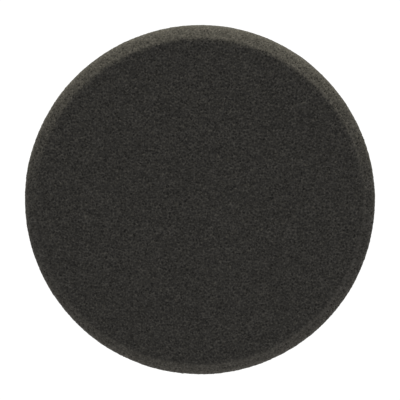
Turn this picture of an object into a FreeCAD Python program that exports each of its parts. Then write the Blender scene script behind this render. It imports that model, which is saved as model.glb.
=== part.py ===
"""Foam polishing pad, 150 mm: a bevelled foam disc bonded to a loop-fabric backing.

The pad lies on its loop side. The origin is the centre of the loop face, +Z points out of
the polishing face, and the pad is round about Z. All sizes are in millimetres.

It is a laminate stamped out of one sheet, so every layer has the same outline. From the
bottom up the layers are the loop backing, the bond film and the foam. Only the foam is
shaped further: its working edge is bevelled and softened, so that it can't dig into paint.
"""

import FreeCAD, Part
import math
import os
from Sketcher import Constraint

SIZES = {
    "pad_diameter": 150.0,     # across the stamped outline
    "pad_thickness": 25.0,     # from the loop face to the polishing face
    "loop_thickness": 1.8,     # the knitted ground and its brushed loops
    "film_thickness": 0.4,     # hot-melt adhesive, with the foam skin that it soaks into
    "bevel_width": 5.3,        # how far the bevel runs in from the outline
    "bevel_drop": 3.8,         # how far it runs down from the polishing face
    "shoulder_radius": 7.5,    # softens the bevel's outer end into the side wall
    "crown_radius": 3.0,       # softens the bevel's inner end into the polishing face
}
OUTPUT_FOLDER = "parts"
Z_AXIS = FreeCAD.Vector(0, 0, 1)

# Sketcher's numbers for the points of a piece of geometry, and for the sketch's own origin
START, END, CENTRE = 1, 2, 3
ORIGIN = (-1, 1)


def make_sheet(doc):
    """The spreadsheet of driving dimensions: a name and an aliased value on each row."""
    sheet = doc.addObject("Spreadsheet::Sheet", "sizes")
    for row, (name, value) in enumerate(SIZES.items(), start=1):
        sheet.set(f"A{row}", name)
        sheet.set(f"B{row}", str(value))
        sheet.setAlias(f"B{row}", name)


def make_body(doc, name, height):
    """An empty body that stands at a height given by an expression over the sheet."""
    body = doc.addObject("PartDesign::Body", name)
    body.Label = name
    body.setExpression(".Placement.Base.z", height)
    return body


def make_sketch(body, name, plane_role):
    """A sketch on one of the body's own origin planes."""
    sketch = body.newObject("Sketcher::SketchObject", name)
    plane = next(item for item in body.Origin.OriginFeatures if item.Role == plane_role)
    sketch.AttachmentSupport = [(plane, "")]
    sketch.MapMode = "FlatFace"
    return sketch


def drive(sketch, name, constraint, expression):
    """Adds a named dimension to a sketch and binds it to the sheet."""
    number = sketch.addConstraint(constraint)
    sketch.renameConstraint(number, name)
    sketch.setExpression(f"Constraints.{name}", expression)


def make_fabric_layer(doc, name, thickness, height):
    """A plain round layer of the stamped outline."""
    body = make_body(doc, name, height)
    outline = make_sketch(body, f"{name}_outline", "XY_Plane")
    diameter = SIZES["pad_diameter"]
    circle = outline.addGeometry(Part.Circle(FreeCAD.Vector(), Z_AXIS, diameter / 2))
    outline.addConstraint(Constraint("Coincident", circle, CENTRE, *ORIGIN))
    drive(outline, "across", Constraint("Diameter", circle, diameter), "sizes.pad_diameter")

    layer = body.newObject("PartDesign::Pad", f"{name}_layer")
    layer.Profile = outline
    layer.setExpression("Length", thickness)


def make_loop_backing(doc):
    """The loop fabric on the back, which grips the hooks of a machine's backing plate."""
    make_fabric_layer(doc, "loop_backing", "sizes.loop_thickness", "0 mm")


def make_bond_film(doc):
    """The thin adhesive layer that holds the fabric to the foam."""
    make_fabric_layer(doc, "bond_film", "sizes.film_thickness", "sizes.loop_thickness")


def half_section():
    """The foam's half section, in (radius, height) from the centre of its base.

    Returns the lines and arcs in order round the section, and the bevel's two sharp
    corners as they were before softening.
    """
    outer = SIZES["pad_diameter"] / 2
    top = SIZES["pad_thickness"] - SIZES["loop_thickness"] - SIZES["film_thickness"]
    shoulder_corner = FreeCAD.Vector(outer, top - SIZES["bevel_drop"])
    crown_corner = FreeCAD.Vector(outer - SIZES["bevel_width"], top)

    # Both arcs meet the bevel where their radius is square to it
    bevel_normal = math.atan2(SIZES["bevel_width"], SIZES["bevel_drop"])
    shoulder_radius = SIZES["shoulder_radius"]
    shoulder_reach = shoulder_radius * math.tan(bevel_normal / 2)
    shoulder_centre = shoulder_corner - FreeCAD.Vector(shoulder_radius, shoulder_reach)
    crown_radius = SIZES["crown_radius"]
    crown_reach = crown_radius * math.tan((math.pi / 2 - bevel_normal) / 2)
    crown_centre = crown_corner - FreeCAD.Vector(crown_reach, crown_radius)
    shoulder_circle = Part.Circle(shoulder_centre, Z_AXIS, shoulder_radius)
    crown_circle = Part.Circle(crown_centre, Z_AXIS, crown_radius)
    shoulder = Part.ArcOfCircle(shoulder_circle, 0, bevel_normal)
    crown = Part.ArcOfCircle(crown_circle, bevel_normal, math.pi / 2)

    base_centre = FreeCAD.Vector(0, 0)
    base_corner = FreeCAD.Vector(outer, 0)
    face_centre = FreeCAD.Vector(0, top)
    section = [
        Part.LineSegment(base_centre, base_corner),
        Part.LineSegment(base_corner, shoulder.StartPoint),
        shoulder,
        Part.LineSegment(shoulder.EndPoint, crown.StartPoint),
        crown,
        Part.LineSegment(crown.EndPoint, face_centre),
        Part.LineSegment(face_centre, base_centre),
    ]
    return section, [Part.Point(shoulder_corner), Part.Point(crown_corner)]


def make_foam_disc(doc):
    """The open-cell foam, turned to its bevelled and softened working edge."""
    under = "sizes.loop_thickness + sizes.film_thickness"
    body = make_body(doc, "foam_disc", under)
    sketch = make_sketch(body, "foam_half_section", "XZ_Plane")
    section, sharp_corners = half_section()
    base, wall, shoulder, bevel, crown, face, axis = sketch.addGeometry(section, False)
    shoulder_corner, crown_corner = sketch.addGeometry(sharp_corners, True)

    sketch.addConstraint([
        Constraint("Coincident", base, START, *ORIGIN),
        Constraint("Coincident", base, END, wall, START),
        Constraint("Tangent", wall, END, shoulder, START),
        Constraint("Tangent", shoulder, END, bevel, START),
        Constraint("Tangent", bevel, END, crown, START),
        Constraint("Tangent", crown, END, face, START),
        Constraint("Coincident", face, END, axis, START),
        Constraint("Coincident", axis, END, base, START),
        Constraint("Horizontal", base),
        Constraint("Vertical", wall),
        Constraint("Horizontal", face),
        Constraint("Vertical", axis),
        Constraint("PointOnObject", shoulder_corner, START, wall),
        Constraint("PointOnObject", shoulder_corner, START, bevel),
        Constraint("PointOnObject", crown_corner, START, bevel),
        Constraint("PointOnObject", crown_corner, START, face),
    ])
    outer = section[0].EndPoint.x
    top = section[-1].StartPoint.y
    drive(sketch, "outer_radius", Constraint("Distance", base, outer), "sizes.pad_diameter / 2")
    drive(sketch, "foam_height", Constraint("Distance", axis, top), f"sizes.pad_thickness - ({under})")
    drive(
        sketch,
        "bevel_width",
        Constraint("DistanceX", crown_corner, START, base, END, SIZES["bevel_width"]),
        "sizes.bevel_width",
    )
    drive(
        sketch,
        "bevel_drop",
        Constraint("DistanceY", shoulder_corner, START, axis, START, SIZES["bevel_drop"]),
        "sizes.bevel_drop",
    )
    for name, arc in (("shoulder_radius", shoulder), ("crown_radius", crown)):
        drive(sketch, name, Constraint("Radius", arc, SIZES[name]), f"sizes.{name}")

    turned = body.newObject("PartDesign::Revolution", "turned_foam")
    turned.Profile = sketch
    turned.ReferenceAxis = (sketch, ["V_Axis"])
    turned.Angle = 360


def check(doc):
    """Stops if anything failed, a sketch is loose, or a sub-part isn't one sound solid."""
    for item in doc.Objects:
        if {"Invalid", "Error"} & set(item.State):
            raise RuntimeError(f"{item.Label} failed: {item.State}")
    for sketch in doc.findObjects("Sketcher::SketchObject"):
        if not sketch.FullyConstrained:
            raise RuntimeError(f"{sketch.Label} isn't fully constrained")
    for body in doc.findObjects("PartDesign::Body"):
        shape = body.Shape
        if shape.isNull() or not shape.isValid() or len(shape.Solids) != 1:
            raise RuntimeError(f"{body.Label} isn't one sound solid")


def main():
    doc = FreeCAD.newDocument("polishing_pad")
    make_sheet(doc)
    doc.recompute()
    make_loop_backing(doc)
    make_bond_film(doc)
    make_foam_disc(doc)
    doc.recompute()
    check(doc)

    os.makedirs(OUTPUT_FOLDER, exist_ok=True)
    for body in doc.findObjects("PartDesign::Body"):
        body.Shape.exportStep(os.path.join(OUTPUT_FOLDER, f"{body.Label}.step"))
        box = body.Shape.BoundBox
        print(f"{body.Label}: {body.Shape.Volume:.0f} mm3, z {box.ZMin:.2f} to {box.ZMax:.2f}")


main()
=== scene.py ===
"""The looks of the foam polishing pad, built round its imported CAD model.

Four visible pieces, from the floor up: the fabric's brushed pile of real loops, the knitted
ground that holds them, a line of hot-melt adhesive, and open-cell foam with a bevelled edge.
Lengths are metres. Sizes written in MM are those of details that only show here.
"""

import math

import bpy
import numpy as np
from mathutils import Matrix, Vector
from mathutils.geometry import delaunay_2d_cdt


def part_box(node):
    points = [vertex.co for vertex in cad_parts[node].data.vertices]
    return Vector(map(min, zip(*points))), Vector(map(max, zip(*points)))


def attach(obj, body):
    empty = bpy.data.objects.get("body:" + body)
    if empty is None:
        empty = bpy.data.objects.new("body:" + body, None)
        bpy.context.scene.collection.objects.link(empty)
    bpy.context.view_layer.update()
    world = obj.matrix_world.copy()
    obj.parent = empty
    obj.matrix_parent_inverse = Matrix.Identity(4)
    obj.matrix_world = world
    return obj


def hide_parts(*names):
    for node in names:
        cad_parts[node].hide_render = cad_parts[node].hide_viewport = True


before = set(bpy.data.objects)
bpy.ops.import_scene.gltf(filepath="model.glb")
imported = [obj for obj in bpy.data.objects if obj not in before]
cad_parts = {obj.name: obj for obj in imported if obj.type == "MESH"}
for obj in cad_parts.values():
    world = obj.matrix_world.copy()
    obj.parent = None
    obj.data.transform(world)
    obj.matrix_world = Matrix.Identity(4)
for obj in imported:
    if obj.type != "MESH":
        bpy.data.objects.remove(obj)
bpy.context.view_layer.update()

MM = 0.001
BODY = "root"
TURN = 2 * math.pi
rng = np.random.default_rng(150)

FOAM_LOW, FOAM_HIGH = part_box("foam_disc")
FILM_LOW, FILM_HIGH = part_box("bond_film")
LOOP_LOW, LOOP_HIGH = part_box("loop_backing")
OUTER_RADIUS = FOAM_HIGH.x

# The working edge, as the CAD model shapes it
BEVEL_WIDTH = 5.3 * MM
BEVEL_DROP = 3.8 * MM
SHOULDER_RADIUS = 7.5 * MM
CROWN_RADIUS = 3.0 * MM
CROWN_STEPS = 24
SHOULDER_STEPS = 24
WALL_STEPS = 40
WALL_WAIST = 0.3 * MM               # the stamped wall draws in between its ends
UNEVENNESS = 0.03 * MM              # of the foam's surface
UNEVENNESS_SIZE = (12 * MM, 45 * MM)

# The foam's cells. Depths without a unit are in pitches.
CELL_PITCH = 1.25 * MM
CELL_LOSS = 0.14                    # share of the cells that have run into their neighbours
CELL_JITTER = 0.5                   # how far a cell's centre wanders, as a share of its row
FOOT_GAP = 0.3                      # the least from a cell's centre to the wall's foot, in rows
PIT_DEPTH = (0.10, 0.60)            # from a cell that still has its skin to an open one
CORNER_UNEVENNESS = 0.04            # how far the struts' meeting points stand up or down
CLUMPING = 0.25                     # how alike neighbouring cells are in depth
TONE_CLUMPING = 0.2                 # and in tone
CLUMP_SIZE = (1.6 * MM, 3.4 * MM)
CLUMP_CONTRAST = 0.28
CUT_OPENING = 0.4                   # how much more open the cut wall's cells are than the face's: deeper pits, and cells painted darker as painted shade
WEAR_AND_HIGHLIGHT_WIDTH = 0.9 * MM               # of the lighter line along the crown: partly wear, partly a painted highlight where the crown catches the light
HIGHLIGHT_TURN = math.radians(-20)       # where round the rim the painted highlight is strongest: the side the light comes from
# how strong that line is on average, and how far its painted highlight swings round the rim
WEAR_AND_HIGHLIGHT_MEAN = 0.6
HIGHLIGHT_SWING = 0.4

# The fabric. A pair is a range, or for LOOP_LEAN a mean and a spread.
GROUND_THICKNESS = 0.6 * MM
GROUND_RIM_STEP = 0.7 * MM
GROUND_MARGIN = 0.4 * MM            # from the outermost stitches to the cut edge
WALE = 1.5 * MM                     # from one column of stitches to the next
COURSE = 1.15 * MM                  # from one row of stitches to the next
RIB_HEIGHT = 0.15 * MM
STITCH_SHARE = (0.7, 1.1)           # of a rib's height that a stitch reaches
FRAY = 0.06 * MM
LOOP_REACH = (0.85 * MM, 1.17 * MM)  # how far the loops hang below the ground
LOOP_SPAN = 1.6 * MM                # between a loop's two feet
SPAN_SHARE = (0.7, 1.3)
LOOP_TWIST = 0.8                    # how far loops turn away from their column, in radians
LOOP_LEAN = (0.3, 0.35)             # sideways, as a share of the reach
LOOP_BLUNTNESS = 0.8                # below 1, a loop hangs squarer than a half circle
LOOP_RINGS = 5                      # points along a loop
BUNDLE_WIDTH = 0.52 * MM            # of the filaments that make one loop
BUNDLE_SHARE = (0.6, 1.2)
BUNDLE_THICKNESS = 0.16 * MM
FOOT_WANDER = 0.3                   # in wales and courses
RIM_ROW_GAP = 0.6 * MM              # between the grid of loops and the row at the rim
RIM_ROW_STEP = 0.75 * MM
RIM_ROW_WANDER = (-0.2, 0.45)       # in millimetres
PILE_OVERHANG = 0.1 * MM            # how far the pile may stand out past the cut edge

# The adhesive's line
BEAD = 0.12 * MM                    # how far it squeezes out
BEAD_STEP = 0.5 * MM
BEAD_SIZE = (3 * MM, 25 * MM)
BEAD_SWELL = 0.4
BEAD_SPECKLE = 0.15

# The bake layer, 1 across: the visible side fills it, the bonded side goes in a corner
BAKE_LAYER = "OFBake"
VISIBLE_SPREAD = 0.48
HIDDEN_SPREAD = 0.05
HIDDEN_PLACE = 0.07
FILM_RINGS_ON_MAP = (1.3, 1.2, 1.0)   # a thin rim's rings lie apart there, lowest first
GROUND_RINGS_ON_MAP = (1.04, 1.08)


# ---------------------------------------------------------------- shape helpers

def on_ring(radius, turn, height):
    """Points at a radius, an angle and a height; any of them may be an array."""
    radius, turn, height = np.broadcast_arrays(radius, turn, height)
    return np.stack([radius * np.cos(turn), radius * np.sin(turn), height], axis=-1)


def even_turns(spacing, radius=OUTER_RADIUS):
    """Angles of points spaced about this far apart round a circle."""
    count = round(TURN * radius / spacing)
    return np.arange(count) * TURN / count


def swell(points, amplitude, shortest, longest, waves=14):
    """A smooth random rise and fall over points, as a sum of plane waves."""
    total = np.zeros(len(points))
    for _ in range(waves):
        direction = rng.normal(size=3)
        direction /= np.linalg.norm(direction)
        length = rng.uniform(shortest, longest)
        total += np.sin(points @ direction * TURN / length + rng.uniform(0, TURN))
    return amplitude * total / math.sqrt(waves / 2)


def drift(places):
    """Random values from 0 to 1 that change over a few cells."""
    points = np.column_stack([places, np.zeros(len(places))])
    return np.clip(0.5 + swell(points, CLUMP_CONTRAST, *CLUMP_SIZE, waves=60), 0, 1)


def triangulate(places):
    """Delaunay triangles over 2-D points, all turning the same way."""
    found = delaunay_2d_cdt([Vector(p) for p in places.tolist()], [], [], 0, 1e-12, False)
    places = np.array([tuple(p) for p in found[0]])
    triangles = np.array(found[2])
    first, second, third = (places[triangles[:, k]] for k in range(3))
    across, along = second - first, third - first
    wrong_way = across[:, 0] * along[:, 1] < across[:, 1] * along[:, 0]
    triangles[wrong_way] = triangles[wrong_way, ::-1]
    return places, triangles


def ring_strip(first, second):
    """Quads between two rings of point numbers."""
    return np.stack([first, np.roll(first, -1), np.roll(second, -1), second], axis=1)


def ring_fan(ring, middle):
    """Triangles from a ring of point numbers to one point."""
    return np.stack([ring, np.roll(ring, -1), np.full(len(ring), middle)], axis=1)


def make_piece(name, points, faces, flat, hidden_faces, attributes):
    """A smooth mesh object with point attributes and a clean flat map to bake on.

    flat holds each point's place on the map of the visible side. hidden_faces holds the
    faces of the bonded side, which comes last and is mapped straight down into a corner.
    """
    mesh = bpy.data.meshes.new(name)
    every_face = [face for group in faces + hidden_faces for face in group.tolist()]
    mesh.from_pydata(points.tolist(), [], every_face)
    mesh.polygons.foreach_set("use_smooth", np.ones(len(mesh.polygons), bool))
    for key, values in attributes.items():
        layer = mesh.attributes.new(key, "FLOAT", "POINT")
        layer.data.foreach_set("value", values.astype(np.float32))

    corner_points = np.empty(len(mesh.loops), np.int32)
    mesh.loops.foreach_get("vertex_index", corner_points)
    hidden_corners = sum(group.size for group in hidden_faces)
    visible = flat[corner_points] / np.abs(flat).max() * VISIBLE_SPREAD + 0.5
    hidden = points[corner_points, :2] / OUTER_RADIUS * HIDDEN_SPREAD + HIDDEN_PLACE
    is_hidden = np.arange(len(mesh.loops)) >= len(mesh.loops) - hidden_corners
    bake_places = np.where(is_hidden[:, None], hidden, visible)
    mesh.uv_layers.new(name=BAKE_LAYER).uv.foreach_set("vector", bake_places.ravel())
    mesh.update()

    piece = bpy.data.objects.new(name, mesh)
    bpy.context.scene.collection.objects.link(piece)
    return piece


def stand_for(piece, node, material):
    """Puts a piece in the place of a CAD node, with its material."""
    piece.data.materials.append(material)
    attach(piece, BODY)
    if node:
        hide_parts(node)


# ---------------------------------------------------------------- the foam

def foam_section():
    """The foam's outline, from the middle of its face out and down to its foot.

    Returns arrays: distance along the outline, radius, height, the surface's lean from
    level, and the radius at which a map that keeps proportions shows each point.
    """
    lean = math.atan2(BEVEL_DROP, BEVEL_WIDTH)
    crown_reach = CROWN_RADIUS * math.tan(lean / 2)
    shoulder_reach = SHOULDER_RADIUS * math.tan((math.pi / 2 - lean) / 2)
    crown_r = OUTER_RADIUS - BEVEL_WIDTH - crown_reach
    crown_z = FOAM_HIGH.z - CROWN_RADIUS
    shoulder_r = OUTER_RADIUS - SHOULDER_RADIUS
    shoulder_z = FOAM_HIGH.z - BEVEL_DROP - shoulder_reach

    crown = np.linspace(0, lean, CROWN_STEPS)
    shoulder = np.linspace(lean, math.pi / 2, SHOULDER_STEPS)
    wall = np.linspace(0, 1, WALL_STEPS)[1:]
    radius = np.concatenate([
        [0],
        crown_r + CROWN_RADIUS * np.sin(crown),
        shoulder_r + SHOULDER_RADIUS * np.sin(shoulder),
        OUTER_RADIUS - WALL_WAIST * np.sin(math.pi * wall) ** 2,
    ])
    height = np.concatenate([
        [FOAM_HIGH.z],
        crown_z + CROWN_RADIUS * np.cos(crown),
        shoulder_z + SHOULDER_RADIUS * np.cos(shoulder),
        shoulder_z + (FOAM_LOW.z - shoulder_z) * wall,
    ])
    leans = np.concatenate([[0], crown, shoulder, np.full(len(wall), math.pi / 2)])
    steps = np.hypot(np.diff(radius), np.diff(height))
    along = np.concatenate([[0], np.cumsum(steps)])
    # The flat face is its own map. Past it, the map grows in proportion, step by step.
    growth = steps[1:] * 2 / (radius[1:-1] + radius[2:])
    spread = crown_r * np.exp(np.concatenate([[0], np.cumsum(growth)]))
    return along, radius, height, leans, np.concatenate([[0], spread])


def cell_centres(along, radius, spread):
    """Random cell centres on the map, ring by ring, with an even ring at the wall's foot."""
    row = CELL_PITCH * math.sqrt(3) / 2
    end = along[-1]
    places = [np.zeros((1, 2))]
    for ring in range(1, int(end / row - 0.5) + 1):
        turns = even_turns(CELL_PITCH, np.interp(ring * row, along, radius))
        step = turns[1]
        wander = rng.uniform(-CELL_JITTER, CELL_JITTER, (2, len(turns)))
        here = np.minimum((ring + wander[0]) * row, end - FOOT_GAP * row)
        reach = np.interp(here, along, spread)
        centres = on_ring(reach, turns + (0.5 * (ring % 2) + wander[1]) * step, 0)[:, :2]
        places.append(centres[rng.random(len(turns)) > CELL_LOSS])
    places.append(on_ring(spread[-1], even_turns(CELL_PITCH / 2), 0)[:, :2])
    return np.concatenate(places)


def sides_across(triangles, count):
    """For each side of each triangle, the same side of the triangle beyond it, or -1."""
    start = triangles.ravel()
    end = np.roll(triangles, -1, axis=1).ravel()
    own = start * count + end
    wanted = end * count + start
    order = np.argsort(own)
    found = np.minimum(np.searchsorted(own[order], wanted), len(own) - 1)
    match = order[found]
    return np.where(own[match] == wanted, match, -1)


def cell_faces(triangles, count, at_foot):
    """One facet from a cell's middle to each of its sides, and a straight edge at the foot."""
    across = sides_across(triangles, count)
    owner = triangles.ravel()
    corner = count + np.arange(triangles.size) // 3
    corner_beyond = count + across // 3
    last = across < 0
    pit = np.stack([owner, corner_beyond, corner], axis=1)[~last]
    foot = np.stack([owner, np.roll(triangles, -1, axis=1).ravel(), corner], axis=1)[last]
    return pit, foot


def make_foam():
    """Open-cell foam: every cell is a pit with struts round it, over face, bevel and wall."""
    along, radius, height, leans, spread = foam_section()
    sites, triangles = triangulate(cell_centres(along, radius, spread))
    count = len(sites)
    at_foot = np.hypot(*sites.T) > spread[-1] * (1 - 1e-5)
    flat = np.concatenate([sites, sites[triangles].mean(axis=1)])
    turn = np.arctan2(flat[:, 1], flat[:, 0])
    here = np.interp(np.hypot(*flat.T), spread, along)
    lean = np.interp(here, along, leans)

    # Openness deepens a cell's pit, and the foam material paints open cells darker as painted
    # shade in the pit
    openness = CLUMPING * drift(sites) + (1 - CLUMPING) * rng.random(count)
    openness += CUT_OPENING * np.sin(lean[:count]) ** 2
    openness = np.where(at_foot, 0, np.minimum(openness, 1))
    corner_depth = rng.normal(0, CORNER_UNEVENNESS, len(triangles))
    middle_depth = PIT_DEPTH[0] + (PIT_DEPTH[1] - PIT_DEPTH[0]) * openness
    depth = np.concatenate([middle_depth, corner_depth]) * CELL_PITCH

    # From the map back to the foam's surface, then in by each point's depth
    outward = on_ring(np.sin(lean), turn, np.cos(lean))
    points = on_ring(np.interp(here, along, radius), turn, np.interp(here, along, height))
    lift = swell(points, UNEVENNESS, *UNEVENNESS_SIZE) - depth
    points += outward * lift[:, None]
    points[:count][at_foot] = on_ring(OUTER_RADIUS, turn[:count][at_foot], FOAM_LOW.z)

    pits, foot = cell_faces(triangles, count, at_foot)
    middle = len(points)
    base = np.column_stack([foot[:, 1], foot[:, 0], np.full(len(foot), middle)])
    points = np.vstack([points, [0, 0, FOAM_LOW.z]])
    flat = np.vstack([flat, [0, 0]])
    tone = (TONE_CLUMPING * drift(sites) + (1 - TONE_CLUMPING) * rng.random(count)) ** 2
    # A lighter line along the crown: partly wear, partly a painted highlight, stronger on the
    # side the light comes from
    crown_end = along[CROWN_STEPS]
    wear_and_highlight = WEAR_AND_HIGHLIGHT_MEAN + HIGHLIGHT_SWING * np.cos(turn - HIGHLIGHT_TURN)
    wear_and_highlight *= np.exp(-(((here - crown_end) / WEAR_AND_HIGHLIGHT_WIDTH) ** 2))
    attributes = {
        "pit": np.concatenate([np.where(at_foot, 0, 1.0), np.zeros(len(triangles) + 1)]),
        "open": np.concatenate([openness, openness[triangles].mean(axis=1), [0]]),
        "tone": np.concatenate([tone, tone[triangles].mean(axis=1), [0]]),
        "wear_and_highlight": np.append(wear_and_highlight, 0),
    }
    return make_piece("foam", points, [pits, foot], flat, [base], attributes)


# ---------------------------------------------------------------- the adhesive

def make_film():
    """The adhesive's line round the rim, squeezed out a little more here and less there."""
    turns = even_turns(BEAD_STEP)
    rim = on_ring(OUTER_RADIUS, turns, FILM_LOW.z)
    squeeze = swell(rim, BEAD_SWELL, *BEAD_SIZE) + rng.normal(0, BEAD_SPECKLE, len(rim))
    middle = (FILM_LOW.z + FILM_HIGH.z) / 2
    rings = [
        rim,
        on_ring(OUTER_RADIUS + BEAD * squeeze, turns, middle),
        on_ring(OUTER_RADIUS, turns, FILM_HIGH.z),
    ]
    points = np.concatenate(rings + [[[0, 0, FILM_LOW.z], [0, 0, FILM_HIGH.z]]])
    low, side, high = np.arange(3 * len(turns)).reshape(3, -1)
    faces = [ring_strip(low, side), ring_strip(side, high), ring_fan(high, len(points) - 1)]
    hidden = [ring_fan(low[::-1], len(points) - 2)]
    on_map = [ring[:, :2] * spread for ring, spread in zip(rings, FILM_RINGS_ON_MAP)]
    flat = np.concatenate(on_map + [np.zeros((2, 2))])
    return make_piece("adhesive", points, faces, flat, hidden, {})


# ---------------------------------------------------------------- the fabric

def make_ground():
    """The knitted ground: ribs along its wales, stitches across, a slightly frayed edge."""
    turns = even_turns(GROUND_RIM_STEP)
    ground_low = LOOP_HIGH.z - GROUND_THICKNESS
    half = OUTER_RADIUS - GROUND_MARGIN
    across = np.arange(-half, half, WALE / 2)
    along = np.arange(-half, half, COURSE / 2)
    grid = np.stack(np.meshgrid(across, along), axis=-1)
    stitches = np.stack(np.meshgrid(np.arange(len(across)), np.arange(len(along))), axis=-1)
    inside = np.hypot(*np.moveaxis(grid, -1, 0)) < half
    rim = on_ring(OUTER_RADIUS, turns, 0)[:, :2]
    flat, triangles = triangulate(np.concatenate([grid[inside], rim]))
    parity = stitches[inside] % 2
    ribs = RIB_HEIGHT * (parity[:, 0] + 0.5 * (parity[:, 0] ^ parity[:, 1]))
    count = len(ribs)

    height = np.full(len(flat), ground_low)
    height[:count] -= ribs * rng.uniform(*STITCH_SHARE, count)
    bottom = np.column_stack([flat, height])
    fray = rng.normal(0, FRAY, len(turns))
    middle_ring = on_ring(OUTER_RADIUS + fray, turns, ground_low + GROUND_THICKNESS / 2)
    top_ring = on_ring(OUTER_RADIUS, turns, LOOP_HIGH.z)
    points = np.concatenate([bottom, middle_ring, top_ring, [[0, 0, LOOP_HIGH.z]]])
    low = count + np.arange(len(turns))
    middle = low + len(turns)
    high = middle + len(turns)
    faces = [triangles[:, ::-1], ring_strip(low, middle), ring_strip(middle, high)]
    hidden = [ring_fan(high, len(points) - 1)]
    rings = zip((middle_ring, top_ring), GROUND_RINGS_ON_MAP)
    on_map = [ring[:, :2] * spread for ring, spread in rings]
    places = np.concatenate([flat] + on_map + [np.zeros((1, 2))])
    tone = (points[:, 2] - LOOP_LOW.z) / (LOOP_HIGH.z - LOOP_LOW.z)
    return make_piece("loop_ground", points, faces, places, hidden, {"tone": tone})


def loop_feet():
    """Where the loops stand: a jittered grid of stitches, and a closer row at the rim."""
    reach = OUTER_RADIUS - LOOP_SPAN
    across = np.arange(-reach, reach, WALE)
    along = np.arange(-reach, reach, COURSE)
    grid = np.stack(np.meshgrid(across, along), axis=-1).reshape(-1, 2)
    grid += rng.uniform(-FOOT_WANDER, FOOT_WANDER, grid.shape) * (WALE, COURSE)
    grid = grid[np.hypot(*grid.T) < reach - RIM_ROW_GAP]
    turns = even_turns(RIM_ROW_STEP)
    rim = on_ring(reach + rng.uniform(*RIM_ROW_WANDER, len(turns)) * MM, turns, 0)[:, :2]
    return np.concatenate([grid, rim])


def make_pile():
    """The brushed loops, each a bundle of filaments from one foot down and back up."""
    feet = loop_feet()
    count = len(feet)
    bend = np.linspace(0, math.pi, LOOP_RINGS)
    turn = math.pi / 2 + rng.normal(0, LOOP_TWIST, count)
    forward = on_ring(1.0, turn, 0)
    sideways = on_ring(1.0, turn + math.pi / 2, 0)
    reach = rng.uniform(*LOOP_REACH, count)
    lean = rng.normal(*LOOP_LEAN, count) * reach
    span = LOOP_SPAN * rng.uniform(*SPAN_SHARE, count)
    top = LOOP_HIGH.z - GROUND_THICKNESS

    # The middle line of every loop, then a flattened three-sided bundle round it
    start = np.column_stack([feet, np.full(count, top)])
    stride = (-np.cos(bend) / 2)[None, :, None] * (span[:, None] * forward)[:, None]
    sway = np.sin(bend)[None, :, None] * (lean[:, None] * sideways)[:, None]
    drop = (np.sin(bend) ** LOOP_BLUNTNESS)[None, :] * (reach - BUNDLE_THICKNESS / 2)[:, None]
    line = start[:, None] + stride + sway
    line[..., 2] -= drop
    share = rng.uniform(*BUNDLE_SHARE, (count, LOOP_RINGS, 1))
    wide = sideways[:, None] * (BUNDLE_WIDTH / 2) * share
    inward = np.sin(bend)[None, :, None] * np.array([0, 0, BUNDLE_THICKNESS])
    points = np.stack([line - wide, line + wide, line + inward], axis=2)
    points[..., 2] = np.maximum(points[..., 2], LOOP_LOW.z)
    past = np.hypot(points[..., 0], points[..., 1]) / (OUTER_RADIUS + PILE_OVERHANG)
    points[..., :2] /= np.maximum(past, 1)[..., None]

    number = np.arange(points[..., 0].size).reshape(count, LOOP_RINGS, 3)
    here, there = number[:, :-1], number[:, 1:]
    quads = np.stack([here, np.roll(here, -1, 2), np.roll(there, -1, 2), there], axis=-1)
    ends = np.concatenate([number[:, 0, ::-1], number[:, -1]])
    points = points.reshape(-1, 3)
    tone = np.repeat(rng.random(count), LOOP_RINGS * 3)
    faces = [quads.reshape(-1, 4), ends]
    return make_piece("loop_pile", points, faces, points[:, :2], [], {"tone": tone})


# ---------------------------------------------------------------- materials

class Nodes:
    """One material's node tree. node() adds a node; a socket given as a value is linked."""

    def __init__(self, name):
        self.material = bpy.data.materials.new(name)
        self.material.use_nodes = True
        self.tree = self.material.node_tree
        self.shader = self.tree.nodes["Principled BSDF"]

    def feed(self, socket, value):
        if isinstance(value, bpy.types.NodeSocket):
            self.tree.links.new(value, socket)
        else:
            socket.default_value = value

    def node(self, kind, settings=(), **inputs):
        made = self.tree.nodes.new("ShaderNode" + kind)
        for key, value in settings:
            setattr(made, key, value)
        for key, value in inputs.items():
            self.feed(made.inputs[key.replace("_", " ")], value)
        return made

    def place(self):
        return self.node("TexCoord").outputs["Object"]

    def attribute(self, name):
        return self.node("Attribute", [("attribute_name", name)]).outputs["Fac"]

    def noise(self, size, detail=2.0, roughness=0.55):
        """Noise whose largest features are about this size."""
        made = self.node(
            "TexNoise", Vector=self.place(), Scale=1 / size, Detail=detail, Roughness=roughness
        )
        return made.outputs["Fac"]

    def remap(self, value, low, high, to_low, to_high):
        made = self.node(
            "MapRange", Value=value, From_Min=low, From_Max=high, To_Min=to_low, To_Max=to_high
        )
        return made.outputs[0]

    def blend(self, factor, first, second):
        made = self.node("Mix", [("data_type", "RGBA")])
        self.feed(made.inputs[0], factor)
        self.feed(made.inputs[6], first)
        self.feed(made.inputs[7], second)
        return made.outputs[2]

    def bump(self, height, distance, strength):
        made = self.node("Bump", Strength=strength, Distance=distance, Height=height)
        return made.outputs["Normal"]

    def finish(self, colour, roughness, normal, **constants):
        self.feed(self.shader.inputs["Base Color"], colour)
        self.feed(self.shader.inputs["Roughness"], roughness)
        self.feed(self.shader.inputs["Normal"], normal)
        for key, value in constants.items():
            self.shader.inputs[key.replace("_", " ")].default_value = value
        return self.material


def grey(level, warmth=0.0):
    """A linear grey, leaning to brown with warmth."""
    return (level * (1 + warmth), level, level * (1 - 1.6 * warmth), 1)


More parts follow.
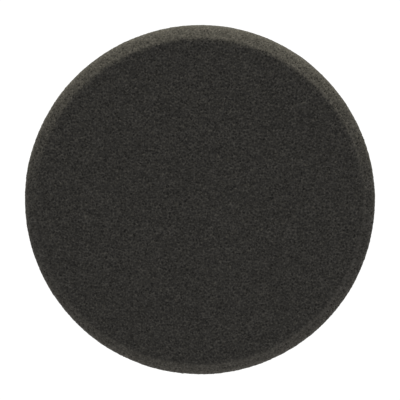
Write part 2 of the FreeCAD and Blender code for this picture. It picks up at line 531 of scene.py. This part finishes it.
def foam_material():
    """Charcoal foam: a lacework of struts round cells, mottled. Open cells are painted darker as
    painted shade in their pits, light specks are painted glints and dark specks painted shade in
    pores, and a lighter line along the crown is partly wear, partly a painted highlight.

    The foam's pit attribute is 1 in the middle of a cell and 0 where struts meet.
    """
    m = Nodes("foam")
    fine = m.noise(0.5 * MM)
    broad = m.noise(9 * MM, 3.0)
    glint_and_pore_specks = m.noise(0.8 * MM)
    hollow = m.remap(m.attribute("pit"), 0.24, 0.46, 0.0, 1.0)

    struts = m.blend(m.attribute("tone"), grey(0.0225, 0.045), grey(0.065, 0.05))
    struts = m.blend(m.remap(fine, 0.38, 0.62, 0.0, 0.35), struts, grey(0.043, 0.05))
    struts = m.blend(m.remap(broad, 0.35, 0.65, 0.0, 0.12), struts, grey(0.024, 0.08))
    # Cell middles: painted darker the more open the cell, as painted shade in the pit
    cells = m.blend(m.attribute("open"), grey(0.0335, 0.04), grey(0.0195, 0.02))
    colour = m.blend(hollow, struts, cells)
    # Light specks are painted glints off the cell walls; dark specks are painted shade in pores
    colour = m.blend(m.remap(glint_and_pore_specks, 0.53, 0.68, 0.0, 0.8), colour, grey(0.074, 0.05))
    colour = m.blend(m.remap(glint_and_pore_specks, 0.31, 0.45, 0.8, 0.0), colour, grey(0.009, 0.05))
    # The lighter line along the crown: partly wear, partly a painted highlight
    colour = m.blend(m.remap(m.attribute("wear_and_highlight"), 0.0, 1.0, 0.0, 0.3), colour, grey(0.075, 0.05))
    return m.finish(
        colour, m.remap(fine, 0.3, 0.7, 0.86, 1.0), m.bump(fine, 0.1 * MM, 0.5),
        Specular_IOR_Level=0.2, Sheen_Weight=0.06, Sheen_Roughness=0.6,
        Sheen_Tint=(1.0, 0.95, 0.86, 1),
    )


def adhesive_material():
    """Hot-melt adhesive: black, satin, uneven where it has soaked in."""
    m = Nodes("adhesive")
    lumps = m.noise(1.2 * MM, 4.0)
    colour = m.blend(m.remap(lumps, 0.35, 0.65, 0, 1), grey(0.010), grey(0.028))
    return m.finish(
        colour, m.remap(lumps, 0.3, 0.7, 0.32, 0.65), m.bump(lumps, 0.15 * MM, 0.7),
        Coat_Weight=0.1, Coat_Roughness=0.3,
    )


def nylon_material(name, dark, light, thread_size):
    """Black nylon yarn: fine filaments, a soft sheen, and dust that has greyed it in places."""
    m = Nodes(name)
    filaments = m.noise(thread_size, 3.0)
    dust = m.noise(14 * MM, 4.0)
    colour = m.blend(m.attribute("tone"), grey(dark), grey(light))
    colour = m.blend(m.remap(filaments, 0.4, 0.65, 0.0, 0.5), colour, grey(light * 1.7))
    colour = m.blend(m.remap(dust, 0.45, 0.7, 0.0, 0.3), colour, grey(light * 1.6, 0.04))
    return m.finish(
        colour, m.remap(filaments, 0.3, 0.7, 0.6, 0.9), m.bump(filaments, 0.08 * MM, 0.6),
        Sheen_Weight=0.35, Sheen_Roughness=0.45, Specular_IOR_Level=0.4,
    )


# ---------------------------------------------------------------- the stage

VIEW_TILT = math.radians(5.4)       # how far the camera leans from straight above the pad
VIEW_TURN = math.radians(72)        # which way it leans, from +X towards +Y
VIEW_DISTANCE = 0.95
PAD_SHARE = 0.8755                  # the pad's width as a share of the picture's
SENSOR = 36.0                       # millimetres, as Blender counts it
TARGET = Vector((0.14 * MM, 0.30 * MM, 16 * MM))


def make_camera():
    """Above the pad, leaning towards the top of the picture, which is +Y."""
    data = bpy.data.cameras.new("camera")
    data.sensor_width = SENSOR
    rim_distance = VIEW_DISTANCE + TARGET.z - (FOAM_HIGH.z - 2 * BEVEL_DROP)
    data.lens = SENSOR * rim_distance * PAD_SHARE / (2 * OUTER_RADIUS)
    data.clip_start = 10 * MM
    camera = bpy.data.objects.new("camera", data)
    bpy.context.scene.collection.objects.link(camera)

    level = math.sin(VIEW_TILT)
    away = Vector((level * math.cos(VIEW_TURN), level * math.sin(VIEW_TURN), math.cos(VIEW_TILT)))
    across = Vector((0, 1, 0)).cross(away).normalized()
    facing = Matrix((across, away.cross(across), away)).transposed()
    camera.matrix_world = Matrix.Translation(TARGET + away * VIEW_DISTANCE) @ facing.to_4x4()
    bpy.context.scene.camera = camera


FLOOR_RADIUS = 4.0
FLOOR_EDGE_STEP = 0.25
FLOOR_GREY = 0.1
FLOOR_GLOW = 1.0
TENT_GLOW = 0.70
HORIZON_BAND = (0.06, 0.14)         # from full to none, as the sine of the elevation
OVERHEAD_BAND = (0.2, 0.6)          # from none to full
LIGHT_SIZE = (0.9, 0.1)
LIGHT_DISTANCE = 0.9


def make_floor():
    """A pale light table under the pad."""
    ring = on_ring(FLOOR_RADIUS, even_turns(FLOOR_EDGE_STEP, FLOOR_RADIUS), LOOP_LOW.z)
    mesh = bpy.data.meshes.new("floor")
    mesh.from_pydata(ring.tolist(), [], [list(range(len(ring)))])
    floor = bpy.data.objects.new("floor", mesh)
    bpy.context.scene.collection.objects.link(floor)
    m = Nodes("floor")
    m.feed(m.shader.inputs["Base Color"], grey(FLOOR_GREY))
    m.feed(m.shader.inputs["Roughness"], 1.0)
    m.feed(m.shader.inputs["Emission Color"], grey(1.0))
    m.feed(m.shader.inputs["Emission Strength"], FLOOR_GLOW)
    mesh.materials.append(m.material)


def make_light(name, turn, rise, power, colour):
    """A soft box aimed at the pad, at a compass turn and an elevation in degrees."""
    data = bpy.data.lights.new(name, "AREA")
    data.shape = "RECTANGLE"
    data.size, data.size_y = LIGHT_SIZE
    data.energy = power
    data.color = colour
    light = bpy.data.objects.new(name, data)
    bpy.context.scene.collection.objects.link(light)
    away = Vector(on_ring(
        math.cos(math.radians(rise)), math.radians(turn), math.sin(math.radians(rise))
    ))
    light.location = away * LIGHT_DISTANCE
    light.rotation_euler = away.to_track_quat("Z", "Y").to_euler()
    light.visible_camera = False


def make_world():
    """A light tent: a soft glow overhead, and a white band at the horizon for other views."""
    world = bpy.data.worlds.new("tent")
    world.use_nodes = True
    bpy.context.scene.world = world
    nodes, links = world.node_tree.nodes, world.node_tree.links
    place = nodes.new("ShaderNodeTexCoord")
    split = nodes.new("ShaderNodeSeparateXYZ")
    both = nodes.new("ShaderNodeMath")
    links.new(place.outputs["Generated"], split.inputs[0])
    bands = (HORIZON_BAND, (1.0, 0.0)), (OVERHEAD_BAND, (0.0, TENT_GLOW))
    for socket, (band, glow) in zip(both.inputs, bands):
        fade = nodes.new("ShaderNodeMapRange")
        fade.inputs["From Min"].default_value, fade.inputs["From Max"].default_value = band
        fade.inputs["To Min"].default_value, fade.inputs["To Max"].default_value = glow
        links.new(split.outputs["Z"], fade.inputs["Value"])
        links.new(fade.outputs[0], socket)
    links.new(both.outputs[0], nodes["Background"].inputs["Strength"])
    nodes["Background"].inputs["Color"].default_value = grey(1.0)


# ---------------------------------------------------------------- putting it together

make_camera()
make_floor()
make_world()
make_light("key", turn=90, rise=4.5, power=15.2, colour=(1.0, 0.96, 0.78))
make_light("fill", turn=270, rise=7.5, power=4.4, colour=(1.0, 0.94, 0.80))
bpy.context.scene.view_settings.view_transform = "Standard"

foam = make_foam()
stand_for(foam, "foam_disc", foam_material())

film = make_film()
stand_for(film, "bond_film", adhesive_material())

pile = make_pile()
stand_for(pile, None, nylon_material("loop_pile", 0.032, 0.065, 0.12 * MM))
ground = make_ground()
stand_for(ground, "loop_backing", nylon_material("ground", 0.018, 0.036, 0.3 * MM))
